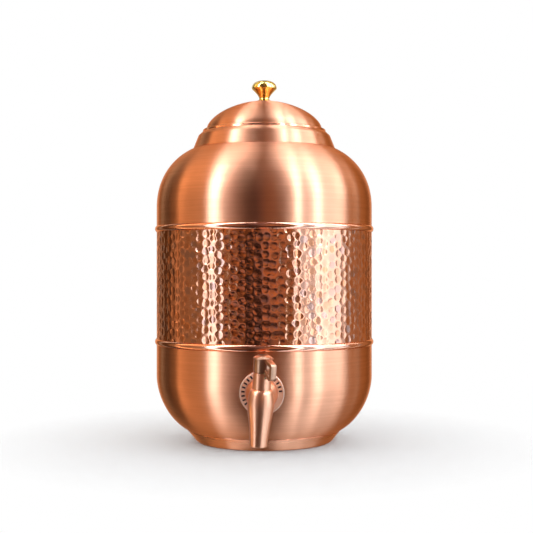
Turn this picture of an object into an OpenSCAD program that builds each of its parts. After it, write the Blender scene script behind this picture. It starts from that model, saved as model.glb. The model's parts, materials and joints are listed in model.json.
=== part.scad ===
// Copper water dispenser: a spun vessel with a hammered band, a lift-off lid and a quarter-turn tap.
// Millimetres, +Z up. The origin is the middle of the foot's rest plane, and the tap faces -Y.

/* [Vessel] */
// Outside diameter of the vessel
body_d = 180; // [160:1:220]
// Thickness of the copper sheet
wall = 1; // [0.8:0.1:1.4]
// Height of the flat bottom above the table
bottom_gap = 7; // [6:0.5:12]
// Width of the bowl's rounded corner
bowl_corner_w = 37.4; // [30:0.1:45]
// Height of the bowl's rounded corner
bowl_corner_h = 48.2; // [40:0.1:60]
// Roundness of the bowl's corner, 2 is an ellipse
bowl_fullness = 1.82; // [1.6:0.02:2.4]
// Straight wall between the bowl's corner and the lower bead
lower_wall_h = 28.3; // [20:0.1:50]
// Height of the hammered band, from bead to bead
band_h = 93.6; // [60:0.1:140]
// Straight wall between the upper bead and the shoulder
upper_wall_h = 17.8; // [8:0.1:40]
// Width of the shoulder's curve
shoulder_w = 54; // [44:0.1:64]
// Height of the shoulder's curve
shoulder_h = 53.9; // [40:0.1:64]
// Roundness of the shoulder, 2 is an ellipse
shoulder_fullness = 2.12; // [1.8:0.02:2.4]
// Height of a bead
bead_h = 6; // [4:0.1:9]
// How far a bead stands out of the wall
bead_out = 1.4; // [0.8:0.1:2.4]

/* [Foot] */
// Height of the foot's joint with the bowl above the flat bottom
foot_joint_h = 3; // [2:0.1:5]
// Angle of the foot's side from upright
foot_flare = 38.7; // [30:0.1:45]
// Rounding at the bottom of the foot
foot_round = 5.5; // [3:0.1:7]
// Width of the flange that the foot rests on
foot_flange_w = 6; // [5:0.1:10]

/* [Neck] */
// Inside diameter of the filling mouth
mouth_d = 103; // [94:0.5:112]
// Height of the neck above the shoulder
neck_h = 4.6; // [3:0.1:8]
// Thickness of the neck's rolled rim
rim_d = 2.4; // [1.6:0.1:3]
// Length of the neck inside the shoulder
neck_tuck = 3; // [2:0.1:6]

/* [Lid] */
// Room between the neck and the top of the lid's skirt
skirt_room = 2.7; // [2:0.1:5]
// How much wider the skirt is at its bottom edge
skirt_flare = 4.3; // [2:0.1:6]
// Room above the neck's rim, under the skirt's top
head_room = 2.7; // [1.5:0.1:5]
// Rounding of the skirt's top edge
skirt_round = 2; // [1.6:0.1:3]
// Width of the slope above the skirt
slope_w = 4.2; // [3:0.1:6]
// Height of the slope above the skirt
slope_h = 5.1; // [3:0.1:8]
// Width of the ledge around the dome
ledge_w = 2.4; // [1.5:0.1:4]
// Height of the dome above the ledge
dome_h = 24.7; // [15:0.1:35]
// Roundness of the dome, 2 is an ellipse
dome_fullness = 1.75; // [1.6:0.02:2.2]
// Gap between the lid's edge and the shoulder it rests on
seat_gap = 0.2; // [0.1:0.05:0.4]
// Clearance of the lid's ring inside the mouth
ring_clear = 1.1; // [0.6:0.1:2]
// How far the lid's ring reaches below the neck's rim
ring_depth = 5; // [3:0.1:8]

/* [Knob] */
// Diameter of the knob at its widest
knob_d = 20.9; // [16:0.1:28]
// Diameter of the knob's neck
knob_neck_d = 8.4; // [7:0.1:11]
// Diameter of the knob's base
knob_base_d = 13; // [12:0.1:18]
// Height of the knob's base flare
knob_flare_h = 2; // [1:0.1:3]
// Height of the knob's trumpet
knob_trumpet_h = 9.2; // [6:0.1:14]
// Height of the knob's domed cap
knob_cap_h = 6.3; // [4:0.1:10]
// Width of the flat around the knob's base
knob_land = 0.5; // [0.3:0.1:2]
// Diameter of the screw that holds the knob
knob_screw_d = 4; // [3:0.1:5]
// Length of that screw inside the knob
knob_screw_grip = 9; // [6:0.1:12]
// Clearance of the screw in the lid
screw_clear = 0.2; // [0.1:0.05:0.4]
// Diameter of the washer under the lid
knob_washer_d = 11; // [9:0.1:14]
// Thickness of that washer
knob_washer_t = 0.8; // [0.5:0.1:1.5]
// Diameter of the screw's head
knob_head_d = 7.6; // [6:0.1:9]
// Height of the screw's head
knob_head_h = 2.6; // [2:0.1:4]
// Width of the slot in the screw's head
knob_slot_w = 1.2; // [0.8:0.1:1.6]

/* [Tap place] */
// Height of the tap's shank above the table
tap_z = 50.3; // [46:0.1:56]
// Angle of the tap around the vessel
tap_azimuth = -1; // [-10:0.1:10]
// Downward pitch of the shank, which follows the bowl's wall
tap_pitch = 5; // [3:0.1:8]
// Turn of the tap on its shank
tap_roll = 3.3; // [-5:0.1:5]

/* [Tap body] */
// Distance from the wall to the middle of the spout
spout_reach = 40; // [34:0.1:50]
// Diameter of the threaded shank
shank_d = 16; // [14:0.1:18]
// Length of the shank inside the wall
shank_in = 16; // [15:0.1:24]
// Diameter of the water passage in the shank
passage_d = 7; // [5:0.1:7.5]
// Diameter of the bell behind the spout
bell_d = 25; // [22:0.1:26]
// Straight rim of the bell
bell_rim = 1.2; // [0.6:0.1:2]
// Diameter of the arm between the bell and the spout
arm_d = 14.8; // [12:0.1:16]
// Distance from the wall to where the bell has become the arm
bell_end = 19; // [15:0.1:24]
// Diameter of the spout at its widest
barrel_d = 18.4; // [17:0.1:22]
// Depth of the spout's widest place below the shank's axis
barrel_drop = 3; // [1:0.1:6]
// Height of the spout's shoulder above the shank's axis
barrel_rise = 10.5; // [9:0.1:14]
// Diameter of the spout at its outlet
outlet_d = 12.7; // [11.5:0.1:15]
// Depth of the outlet below the shank's axis
spout_drop = 31.5; // [26:0.1:38]
// Rounding of the outlet's lip
lip_round = 0.8; // [0.4:0.1:1.2]
// Diameter of the water way in the spout
outlet_bore_d = 9; // [7:0.1:9.6]
// Height of the collar's top above the shank's axis
collar_rise = 22.6; // [21:0.1:26]
// Thickness of the collar's wall
collar_wall = 1.5; // [1.3:0.1:2.5]
// Depth of the notch that stops the handle
notch_h = 3.7; // [3.2:0.1:4.5]

/* [Tap fixing] */
// Diameter of the round plate on the wall
plate_d = 34; // [30:0.1:40]
// Thickness of that plate
plate_t = 2.2; // [1.6:0.1:3]
// Width of the plate's raised rim
plate_rim_w = 1.1; // [0.6:0.1:2]
// Height of the plate's raised rim
plate_rim_h = 0.6; // [0.3:0.1:1]
// Thinnest place of the outer seal
seal_t = 1.5; // [1:0.1:3]
// How far the outer seal stays back from the plate's edge
seal_setback = 1.5; // [0.5:0.1:4]
// Distance from the wall to the inner seal's flat face
inner_seal_in = 4.6; // [4.4:0.1:6]
// Width of the inner seal around the shank
inner_seal_w = 5; // [4:0.1:6]
// Thickness of the lock washer
lock_washer_t = 1.2; // [0.8:0.1:2]
// Thickness of the lock nut
nut_t = 6; // [4:0.1:7]
// Wall of the lock nut at its flats
nut_wall = 3.2; // [2.5:0.1:5]
// Clearance around the shank
shank_clear = 0.15; // [0.1:0.05:0.3]

/* [Valve] */
// Diameter of the turning plug
plug_d = 8.5; // [7.5:0.1:9]
// Running clearance of the plug and its packing
run_clear = 0.05; // [0.03:0.01:0.1]
// Wall of the liner around the plug
liner_wall = 0.95; // [0.8:0.05:1.5]
// Half the length of the liner
liner_half = 7.5; // [6:0.1:8]
// Diameter of the port through liner and plug
port_d = 5.4; // [4:0.1:6]
// Diameter of the hollow in the plug
hollow_d = 5; // [4:0.1:5.3]
// Diameter of the stem above the plug
stem_d = 6; // [5:0.1:6.4]
// Height of the packing head above the liner
packing_h = 6.6; // [6:0.1:7]
// Thickness of a packing ring
o_ring_d = 1.3; // [1:0.05:1.6]
// Thickness of the retaining ring
clip_t = 1; // [0.8:0.1:1.2]
// How deep the retaining ring sits in the collar
clip_groove = 0.45; // [0.3:0.05:0.6]
// Play above and below moving pieces in the valve
valve_play = 0.3; // [0.2:0.05:0.4]
// Diameter of the stop pin
pin_d = 2.4; // [1.8:0.1:2.8]

/* [Handle] */
// Angle of the handle to the right of straight ahead, closed
handle_azimuth = 31; // [0:1:60]
// Turn of the handle from closed to open
handle_turn = 90; // [60:1:100]
// Diameter of the handle's hub
hub_d = 13.6; // [12:0.1:18]
// Height of the hub's side
hub_h = 9.4; // [8:0.1:14]
// How far the hub's rim stands out
hub_rim = 0.5; // [0.2:0.1:1]
// Thickness of the hub's rim
hub_rim_h = 0.8; // [0.5:0.1:1.2]
// Height of the hub's crown
hub_crown = 2.2; // [1:0.1:4]
// Gap between the hub and the collar
hub_gap = 0.6; // [0.3:0.1:1]
// Reach of the lever from the hub's middle
lever_reach = 14; // [12.5:0.1:20]
// Width of the lever's strap
lever_w = 5.6; // [4:0.1:7]
// Thickness of the lever's strap
lever_t = 2.1; // [1.6:0.1:2.8]
// Distance from the hub's middle to the lever's root
lever_root = 2.2; // [1:0.1:4]
// How far the lever's root stands out of the crown
lever_proud = 0.4; // [0.2:0.1:1]
// How far the lever falls from the crown to its front
lever_fall = 5.3; // [4:0.1:7]
// Height of the lever's front
lever_front = 12.4; // [11:0.1:16]
// Rounding of the lever's bends
lever_round = 2.5; // [2.2:0.1:3.5]
// Diameter of the hub's set screw
set_screw_d = 3; // [2.5:0.1:4]

/* [Hidden] */

$fn = 96;
// Facets of a large round surface that another piece is cut to
fine = 360;
// Points along a curve
steps = 20;
// Length that a cut runs past what it cuts
over = 2;

copper = "#c8754b";
bright_copper = "#d98d62";
bronze = "#8a5a3c";
brass = "#d9a93a";
steel = "#c9c9c9";
rubber = "#2b2b2b";
white_plastic = "#ece9e2";

// Vessel heights and radii
body_r = body_d / 2;
bowl_c = body_r - bowl_corner_w;
bowl_z = bottom_gap + bowl_corner_h;
lower_bead_z = bowl_z + lower_wall_h;
foot_joint_z = bottom_gap + foot_joint_h;
foot_r = wall_r(foot_joint_z, 0) - foot_joint_z * tan(foot_flare);
upper_bead_z = lower_bead_z + band_h;
shoulder_c = body_r - shoulder_w;
shoulder_z = upper_bead_z + upper_wall_h;

// Neck and lid
neck_r = mouth_d / 2 + wall;
neck_z = shoulder_top(neck_r, 0) + neck_h;
rim_top = neck_z + rim_d / 2;
skirt_r = neck_r + skirt_room;
skirt_z = rim_top + head_room;
lid_rim_r = skirt_r + skirt_flare;
ledge_r = skirt_r - slope_w;
ledge_z = skirt_z + slope_h;
dome_r = ledge_r - ledge_w;
lid_ring_r = mouth_d / 2 - ring_clear;
knob_seat_r = knob_base_d / 2 + knob_land;
screw_hole_r = knob_screw_d / 2 + screw_clear;
knob_z = dome_top(knob_seat_r, 0);

// Tap: distances along the shank are counted outwards from the wall
tap_r = wall_r(tap_z, 0);
plate_front = seal_t + plate_t;
collar_bore_r = plug_d / 2 + run_clear + liner_wall;
collar_r = collar_bore_r + collar_wall;
packing_r = collar_bore_r - run_clear;
packing_z = liner_half + valve_play;
clip_z = packing_z + packing_h + valve_play;
notch_z = collar_rise - notch_h;
pin_z = collar_rise - notch_h / 2;
stop_margin = asin((pin_d / 2 + valve_play) / collar_bore_r);
hub_z = collar_rise + hub_gap;
hub_top = hub_z + hub_h;
crown_top = hub_top + hub_rim_h + hub_crown;
stem_top = hub_z + hub_h - valve_play;

// Curve of a rounded corner, from level (0 degrees) to upright (90 degrees)
function bulge(w, h, n, t) = [w * pow(cos(t), 2 / n), h * pow(sin(t), 2 / n)];
function bulge_angle(x, w, n) = acos(pow(min(1, max(0, x / w)), n / 2));
function bulge_path(c, z, w, h, n, from, to) =
    [for (i = [0 : steps]) [c, z] + bulge(w, h, n, from + (to - from) * i / steps)];

// Height of the shoulder and radius of the bowl's wall, on the outside or inset by the sheet
function shoulder_angle(r, inset) = bulge_angle(r - shoulder_c, shoulder_w - inset, shoulder_fullness);
function shoulder_top(r, inset) = shoulder_z
    + bulge(1, shoulder_h - inset, shoulder_fullness, shoulder_angle(r, inset))[1];
function wall_r(z, inset) = z >= bowl_z ? body_r - inset
    : bowl_c + bulge(1, bowl_corner_w - inset, bowl_fullness,
        bulge_angle(bowl_z - z, bowl_corner_h - inset, bowl_fullness))[1];
function dome_angle(r, inset) = bulge_angle(r, dome_r - inset, dome_fullness);
function dome_top(r, inset) = ledge_z + bulge(1, dome_h - inset, dome_fullness, dome_angle(r, inset))[1];

// A path whose points [x, y, radius] are rounded
function unit(v) = v / norm(v);
function flat(p) = [p[0], p[1]];
function short_turn(a) = a > 180 ? a - 360 : a < -180 ? a + 360 : a;
function rounding(a, b, c, r) = let (u = unit(a - b), v = unit(c - b), half = acos(u * v) / 2,
    o = b + unit(u + v) * r / sin(half),
    s = b + u * r / tan(half) - o,
    e = b + v * r / tan(half) - o,
    start = atan2(s[1], s[0]),
    turn = short_turn(atan2(e[1], e[0]) - start))
    [for (i = [0 : 8]) o + r * [cos(start + turn * i / 8), sin(start + turn * i / 8)]];
function round_path(p) = [for (i = [0 : len(p) - 1])
    each len(p[i]) == 3 ? rounding(flat(p[i - 1]), flat(p[i]), flat(p[i + 1]), p[i][2]) : [p[i]]];

// The same path moved to its left by d
function left(v) = [-v[1], v[0]];
function offset_path(p, d) = [for (i = [0 : len(p) - 1]) let (
    before = i > 0 ? unit(p[i] - p[i - 1]) : unit(p[1] - p[0]),
    after = i < len(p) - 1 ? unit(p[i + 1] - p[i]) : before,
    m = unit(left(before) + left(after)))
    p[i] + m * d / (m * left(before))];
function reversed(p) = [for (i = [len(p) - 1 : -1 : 0]) p[i]];

module shell(outer, inner) { rotate_extrude() polygon(concat(outer, reversed(inner))); }
module tube(outer_r, inner_r, z0, z1) {
    rotate_extrude() translate([inner_r, z0]) square([outer_r - inner_r, z1 - z0]);
}

// Profiles of the vessel
function bowl_path(inset) = concat([[0, bottom_gap + inset]],
    [for (p = bulge_path(0, 0, bowl_corner_w - inset, bowl_corner_h - inset, bowl_fullness, 90, 0))
        [bowl_c + p[0], bowl_z - p[1]]],
    [[body_r - inset, lower_bead_z]]);
function shoulder_path(inset) = concat([[body_r - inset, upper_bead_z]],
    bulge_path(shoulder_c, shoulder_z, shoulder_w - inset, shoulder_h - inset, shoulder_fullness,
        0, shoulder_angle(neck_r, inset)),
    neck_r < shoulder_c ? [[neck_r, shoulder_z + shoulder_h - inset]] : []);
module bowl_solid(inset) {
    rotate_extrude($fn = fine) polygon(concat(bowl_path(inset), [[0, lower_bead_z]]));
}
module bead(z) {
    bead_r = (pow(bead_h / 2, 2) + pow(bead_out, 2)) / (2 * bead_out);
    rotate_extrude() intersection() {
        translate([body_r + bead_out - bead_r, z]) circle(r = bead_r);
        translate([body_r, z - bead_h]) square([bead_out * 2, bead_h * 2]);
    }
}

// Vessel pieces
module upper_shell() { color(copper) shell(shoulder_path(0), shoulder_path(wall)); }
module hammered_band() { color(bright_copper) tube(body_r, body_r - wall, lower_bead_z, upper_bead_z); }
module upper_bead() { color(bright_copper) bead(upper_bead_z); }
module lower_bead() { color(bright_copper) bead(lower_bead_z); }
module lower_bowl() {
    color(copper) difference() {
        shell(bowl_path(0), bowl_path(wall));
        at_tap() along_shank(-shank_in, plate_front) circle(r = shank_d / 2 + shank_clear);
    }
}
module foot_ring() {
    foot_top = foot_joint_z + 2 * foot_joint_h;
    side = round_path([[foot_r + foot_top * tan(foot_flare), foot_top], [foot_r, 0, foot_round],
        [foot_r - foot_flange_w, 0]]);
    color(copper) difference() {
        shell(side, offset_path(side, -wall));
        bowl_solid(0);
    }
}
module neck_collar() {
    color(copper) rotate_extrude() {
        translate([mouth_d / 2, shoulder_top(neck_r, wall) - neck_tuck])
            square([wall, neck_z - shoulder_top(neck_r, wall) + neck_tuck]);
        translate([neck_r, neck_z]) circle(d = rim_d);
    }
}

// Lid pieces
function seat(r) = shoulder_top(r, 0) + seat_gap;
function skirt_path() = round_path([[lid_rim_r, seat(lid_rim_r)], [skirt_r, skirt_z, skirt_round],
    [ledge_r, ledge_z], [dome_r, ledge_z]]);
function dome_path(inset) = bulge_path(0, ledge_z, dome_r - inset, dome_h - inset, dome_fullness,
    0, dome_angle(knob_seat_r, inset));
function lid_outside() = concat([for (i = [0 : len(skirt_path()) - 2]) skirt_path()[i]],
    dome_path(0), [[screw_hole_r, knob_z]]);
function lid_inside() = let (p = offset_path(concat(skirt_path(), [[dome_r, ledge_z + wall]]), wall),
    edge_r = lid_rim_r - wall / cos(atan(skirt_flare / (skirt_z - seat(lid_rim_r)))))
    concat([[edge_r, seat(edge_r)]], [for (i = [1 : len(p) - 2]) p[i]],
        [for (i = [0 : steps - 1]) dome_path(wall)[i]],
        [[knob_seat_r, knob_z - wall], [screw_hole_r, knob_z - wall]]);
module lid_shell() { color(copper) shell(lid_outside(), lid_inside()); }
module lid_ring() {
    color(copper) tube(lid_ring_r, lid_ring_r - wall, rim_top - ring_depth, ledge_z - wall);
}
module lid_knob() {
    trumpet_z = knob_z + knob_flare_h;
    cap_z = trumpet_z + knob_trumpet_h;
    neck = knob_neck_d / 2;
    swell = (knob_d - knob_neck_d) / 2;
    foot = (knob_base_d - knob_neck_d) / 2;
    color(brass) difference() {
        rotate_extrude() polygon(concat([[0, knob_z]],
            [for (i = [0 : 5]) [neck + foot * (1 - sin(90 * i / 6)), trumpet_z - knob_flare_h * cos(90 * i / 6)]],
            [for (i = [0 : 10]) [neck + swell * pow(i / 10, 1.5), trumpet_z + knob_trumpet_h * i / 10]],
            [for (i = [1 : 12]) [knob_d / 2 * cos(90 * i / 12), cap_z + knob_cap_h * sin(90 * i / 12)]]));
        translate([0, 0, knob_z - over]) cylinder(d = knob_screw_d, h = knob_screw_grip + over);
    }
}
module knob_washer() {
    washer_top = knob_z - wall;
    color(steel) tube(knob_washer_d / 2, screw_hole_r, washer_top - knob_washer_t, washer_top);
}
module knob_screw() {
    head_top = knob_z - wall - knob_washer_t;
    color(steel) difference() {
        union() {
            translate([0, 0, head_top]) cylinder(d = knob_screw_d, h = knob_z + knob_screw_grip - head_top);
            translate([0, 0, head_top - knob_head_h]) cylinder(d = knob_head_d, h = knob_head_h);
        }
        translate([-knob_head_d, -knob_slot_w / 2, head_top - knob_head_h - over])
            cube([2 * knob_head_d, knob_slot_w, over + knob_head_h / 2]);
    }
}

// Frames of the tap: on the wall, along the shank, on the spout's axis and on the turned handle
module at_tap() {
    rotate([0, 0, tap_azimuth]) translate([0, -tap_r, tap_z])
        rotate([tap_pitch, 0, 0]) rotate([0, tap_roll, 0]) children();
}
module along_shank(from, to) {
    rotate([90, 0, 0]) translate([0, 0, from]) linear_extrude(height = to - from) children();
}
module around_shank() { rotate([90, 0, 0]) rotate_extrude() children(); }
module at_post() { at_tap() translate([0, -spout_reach, 0]) children(); }
module at_handle() { at_post() rotate([0, 0, handle_azimuth]) children(); }
module across_handle(z) { translate([0, 0, z]) rotate([90, 0, 0]) children(); }

// Tap pieces that stay still
function barrel_path() = concat([[0, collar_rise], [collar_r, collar_rise]],
    [for (i = [0 : 8]) [collar_r + (barrel_d / 2 - collar_r) * sin(90 * i / 8),
        -barrel_drop + (barrel_rise + barrel_drop) * cos(90 * i / 8)]],
    [for (i = [1 : 9]) let (s = i / 10) [outlet_d / 2 + (barrel_d - outlet_d) / 2 * pow(1 - pow(s, 1.2), 1.5),
        -barrel_drop - (spout_drop - barrel_drop - lip_round) * s]],
    [for (i = [0 : 4]) [outlet_d / 2 - lip_round * (1 - cos(90 * i / 4)),
        lip_round - spout_drop - lip_round * sin(90 * i / 4)]],
    [[0, -spout_drop]]);
module bell() {
    around_shank() polygon(concat([[0, plate_front], [bell_d / 2, plate_front]],
        [for (i = [0 : 10]) [arm_d / 2 + (bell_d - arm_d) / 2 * (1 + cos(18 * i)) / 2,
            plate_front + bell_rim + (bell_end - plate_front - bell_rim) * i / 10]],
        [[arm_d / 2, spout_reach], [0, spout_reach]]));
}
module notch() {
    from = handle_azimuth - stop_margin;
    to = handle_azimuth + handle_turn + stop_margin;
    translate([0, 0, notch_z]) linear_extrude(height = notch_h + over) polygon(concat([[0, 0]],
        [for (i = [0 : 6]) let (a = from + (to - from) * i / 6) 2 * collar_r * [sin(a), -cos(a)]]));
}
module tap_body() {
    color(copper) at_tap() difference() {
        union() {
            along_shank(-shank_in, plate_front) circle(d = shank_d);
            bell();
            translate([0, -spout_reach, 0]) rotate_extrude() polygon(barrel_path());
        }
        along_shank(-shank_in - over, spout_reach) circle(d = passage_d);
        translate([0, -spout_reach, 0]) {
            translate([0, 0, -liner_half]) cylinder(r = collar_bore_r, h = collar_rise + liner_half + over);
            translate([0, 0, -spout_drop - over]) cylinder(d = outlet_bore_d, h = spout_drop + over);
            translate([0, 0, clip_z]) cylinder(r = collar_bore_r + clip_groove, h = clip_t + valve_play);
            notch();
        }
    }
}
module tap_plate() {
    inner = shank_d / 2 + shank_clear;
    color(bright_copper) at_tap() around_shank() {
        translate([inner, seal_t]) square([plate_d / 2 - inner, plate_t]);
        translate([plate_d / 2 - plate_rim_w, seal_t]) square([plate_rim_w, plate_t + plate_rim_h]);
    }
}
module outer_seal() {
    color(rubber) difference() {
        at_tap() along_shank(-shank_in, seal_t) difference() {
            circle(r = plate_d / 2 - seal_setback);
            circle(d = shank_d);
        }
        bowl_solid(0);
    }
}
module inner_seal() {
    color(rubber) intersection() {
        at_tap() along_shank(-inner_seal_in, plate_front) difference() {
            circle(r = shank_d / 2 + inner_seal_w);
            circle(d = shank_d);
        }
        bowl_solid(wall);
    }
}
module lock_washer() {
    color(steel) at_tap() along_shank(-inner_seal_in - lock_washer_t, -inner_seal_in) difference() {
        circle(r = shank_d / 2 + inner_seal_w);
        circle(r = shank_d / 2 + shank_clear);
    }
}
module lock_nut() {
    nut_start = inner_seal_in + lock_washer_t;
    color(steel) at_tap() along_shank(-nut_start - nut_t, -nut_start) difference() {
        circle(r = (shank_d / 2 + nut_wall) / cos(30), $fn = 6);
        circle(d = shank_d);
    }
}
module valve_liner() {
    color(white_plastic) at_post() difference() {
        tube(collar_bore_r, plug_d / 2 + run_clear, -liner_half, liner_half);
        along_shank(-spout_reach, 0) circle(d = port_d);
    }
}
module retaining_ring() {
    color(steel) at_post() tube(collar_bore_r + clip_groove, stem_d / 2 + valve_play,
        clip_z, clip_z + clip_t);
}

// Handle pieces that turn together
module valve_plug() {
    groove_w = o_ring_d + 2 * run_clear;
    color(brass) at_handle() difference() {
        union() {
            translate([0, 0, -liner_half]) cylinder(d = plug_d, h = packing_z + liner_half);
            translate([0, 0, packing_z]) cylinder(r = packing_r, h = packing_h);
            translate([0, 0, packing_z]) cylinder(d = stem_d, h = stem_top - packing_z);
        }
        translate([0, 0, -liner_half - over]) cylinder(d = hollow_d, h = liner_half + over + port_d / 4);
        rotate([0, 0, 180 - handle_turn - handle_azimuth]) along_shank(-port_d / 8, plug_d) circle(d = port_d);
        for (z = packing_heights())
            tube(collar_r, packing_r - o_ring_d, z - groove_w / 2, z + groove_w / 2);
        across_handle(pin_z) cylinder(d = pin_d, h = 2 * stem_d, center = true);
    }
}
function packing_heights() = [for (i = [1, 3]) packing_z + packing_h * i / 4];
module packing_rings() {
    color(rubber) at_handle() for (z = packing_heights())
        rotate_extrude() translate([packing_r - o_ring_d / 2, z]) circle(d = o_ring_d);
}
module stop_pin() {
    color(steel) at_handle() across_handle(pin_z)
        translate([0, 0, -stem_d / 2]) cylinder(d = pin_d, h = stem_d / 2 + collar_r);
}
module hub_solid() {
    rim_r = hub_d / 2 + hub_rim;
    crown_r = (pow(rim_r, 2) + pow(hub_crown, 2)) / (2 * hub_crown);
    translate([0, 0, hub_z]) cylinder(d = hub_d, h = hub_h);
    translate([0, 0, hub_top]) cylinder(r = rim_r, h = hub_rim_h);
    rotate_extrude() intersection() {
        translate([0, crown_top - crown_r]) circle(r = crown_r);
        translate([0, hub_top + hub_rim_h]) square([rim_r, hub_crown * 2]);
    }
}
module handle_hub() {
    color(bronze) at_handle() difference() {
        hub_solid();
        translate([0, 0, hub_z - over]) cylinder(d = stem_d, h = stem_top - hub_z + over);
        across_handle(hub_z + hub_h / 2) translate([0, 0, -hub_d]) cylinder(d = set_screw_d, h = hub_d);
    }
}
module handle_lever() {
    front_top = crown_top - lever_fall;
    heel = hub_z + hub_gap;
    strap = round_path([[lever_root, crown_top + lever_proud], [lever_reach, front_top, lever_round],
        [lever_reach, front_top - lever_front, lever_round], [hub_d / 2, heel]]);
    color(bronze) at_handle() difference() {
        rotate([0, 0, -90]) rotate([90, 0, 0]) linear_extrude(height = lever_w, center = true) difference() {
            polygon(concat(strap, [[lever_root, heel]]));
            polygon(offset_path(strap, -lever_t));
        }
        hub_solid();
    }
}
module set_screw() {
    length = hub_d / 2 - stem_d / 2 - valve_play;
    color(steel) at_handle() across_handle(hub_z + hub_h / 2)
        translate([0, 0, -stem_d / 2 - length]) difference() {
            cylinder(d = set_screw_d, h = length);
            translate([0, 0, -over]) cylinder(d = set_screw_d / 2, h = over + length / 2, $fn = 6);
        }
}

upper_shell();
neck_collar();
hammered_band();
lower_bowl();
foot_ring();
upper_bead();
lower_bead();
tap_body();
tap_plate();
outer_seal();
inner_seal();
lock_washer();
lock_nut();
valve_liner();
retaining_ring();
lid_shell();
lid_ring();
lid_knob();
knob_screw();
knob_washer();
handle_hub();
handle_lever();
valve_plug();
packing_rings();
stop_pin();
set_screw();
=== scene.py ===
"""Looks of the copper water dispenser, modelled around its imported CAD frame.

Lengths are metres in the CAD part's own frame: +Z is up, the tap and the camera are at -Y, and the
origin is the middle of the plane that the foot rests on.
"""

import json
import logging
import math
from collections.abc import Sequence
from dataclasses import dataclass
from enum import Enum

import bpy
import numpy as np
from mathutils import Matrix, Vector


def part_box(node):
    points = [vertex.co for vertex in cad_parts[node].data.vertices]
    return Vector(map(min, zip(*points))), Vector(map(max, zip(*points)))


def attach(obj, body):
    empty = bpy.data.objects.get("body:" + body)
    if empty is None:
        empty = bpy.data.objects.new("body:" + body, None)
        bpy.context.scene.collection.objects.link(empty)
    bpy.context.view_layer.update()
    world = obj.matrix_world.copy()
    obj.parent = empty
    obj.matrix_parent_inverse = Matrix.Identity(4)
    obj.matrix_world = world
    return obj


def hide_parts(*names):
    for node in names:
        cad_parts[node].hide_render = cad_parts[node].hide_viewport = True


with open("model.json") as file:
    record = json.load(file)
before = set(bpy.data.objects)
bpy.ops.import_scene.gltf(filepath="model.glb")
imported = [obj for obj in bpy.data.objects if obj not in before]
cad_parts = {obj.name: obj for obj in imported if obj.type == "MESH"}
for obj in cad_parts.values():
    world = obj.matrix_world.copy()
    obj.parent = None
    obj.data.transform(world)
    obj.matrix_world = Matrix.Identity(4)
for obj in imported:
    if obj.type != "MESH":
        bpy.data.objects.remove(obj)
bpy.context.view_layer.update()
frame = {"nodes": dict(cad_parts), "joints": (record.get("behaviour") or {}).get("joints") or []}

LOG = logging.getLogger("dispenser")
MM = 0.001
MERGE_DISTANCE = 0.001 * MM
QUARTER = math.pi / 2.0

Point = tuple[float, float]
Colour = tuple[float, float, float]


class Body(Enum):
    """The bodies of the part, as its joints name them."""

    VESSEL = "vessel"
    LID = "lid"
    HANDLE = "tap_handle"


class Slot(Enum):
    """The record's finishes that the modelled pieces take."""

    SATIN_COPPER = "satin_copper"
    HAMMERED_COPPER = "hammered_copper"
    POLISHED_COPPER = "polished_copper"
    TAP_COPPER = "tap_copper"
    HANDLE_BRONZE = "handle_bronze"
    POLISHED_BRASS = "polished_brass"
    BLACK_RUBBER = "black_rubber"


# Finishes


UNIT: Point = (0.0, 1.0)
NOISE_SPAN: Point = (0.3, 0.7)
CLOUD_SPAN: Point = (0.35, 0.65)
NOISE_ROUGHNESS = 0.6


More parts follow.
